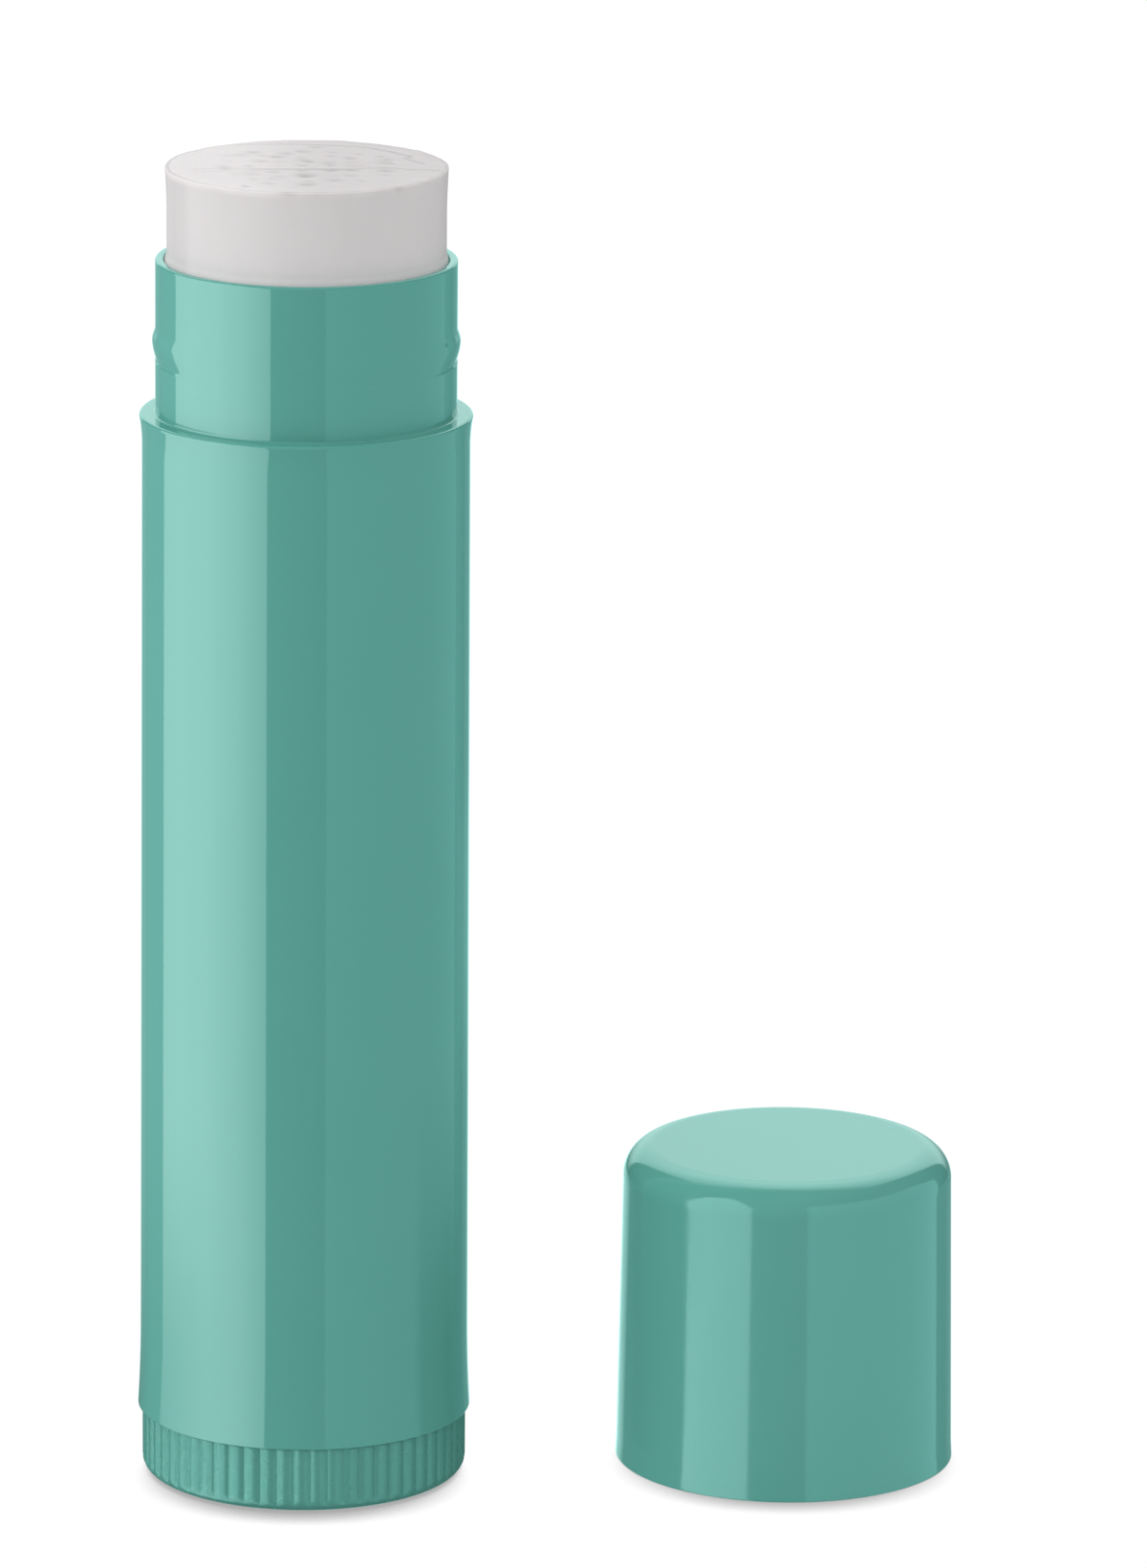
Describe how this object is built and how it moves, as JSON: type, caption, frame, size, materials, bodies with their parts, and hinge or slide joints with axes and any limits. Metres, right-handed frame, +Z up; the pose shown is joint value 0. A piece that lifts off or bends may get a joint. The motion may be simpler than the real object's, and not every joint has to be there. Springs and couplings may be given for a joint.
{
  "type": "lip balm stick",
  "caption": "Twist-up lip balm tube with a ribbed thumbwheel, screw-driven balm raised above the neck, and its cap standing beside it.",
  "frame": {"origin": "centre of the thumbwheel's flat bottom, on the stick's axis", "axes": "+Z up along the stick's axis, +X from the stick towards the cap standing beside it"},
  "size_m": [0.0406, 0.0168, 0.0656],
  "materials": {
    "teal_plastic": "glossy moulded polypropylene",
    "natural_plastic": "uncoloured moulded polypropylene, semi-matt",
    "balm": "cast wax, soft satin"
  },
  "bodies": {
    "tube": {"barrel": "teal_plastic"},
    "drive": {"thumbwheel": "teal_plastic", "screw_spindle": "natural_plastic"},
    "carriage": {"elevator": "natural_plastic", "balm": "balm"},
    "cap": {"cap": "teal_plastic"}
  },
  "joints": [
    {"name": "wheel_turn", "type": "hinge", "parent": "tube", "child": "drive", "pos_m": [0, 0, 0], "axis": [0, 0, 1], "range_deg": [-648, 4320]},
    {"name": "balm_lift", "type": "slide", "parent": "tube", "child": "carriage", "axis": [0, 0, 1], "range_m": [-0.0054, 0.036]},
    {"name": "cap_lift", "type": "slide", "parent": "tube", "child": "cap", "axis": [0, 0, 1], "range_m": [0, 0.07]}
  ],
  "couplings": [
    {"joint": "wheel_turn", "follows": "balm_lift", "rad_per_m": 2094.4}
  ]
}
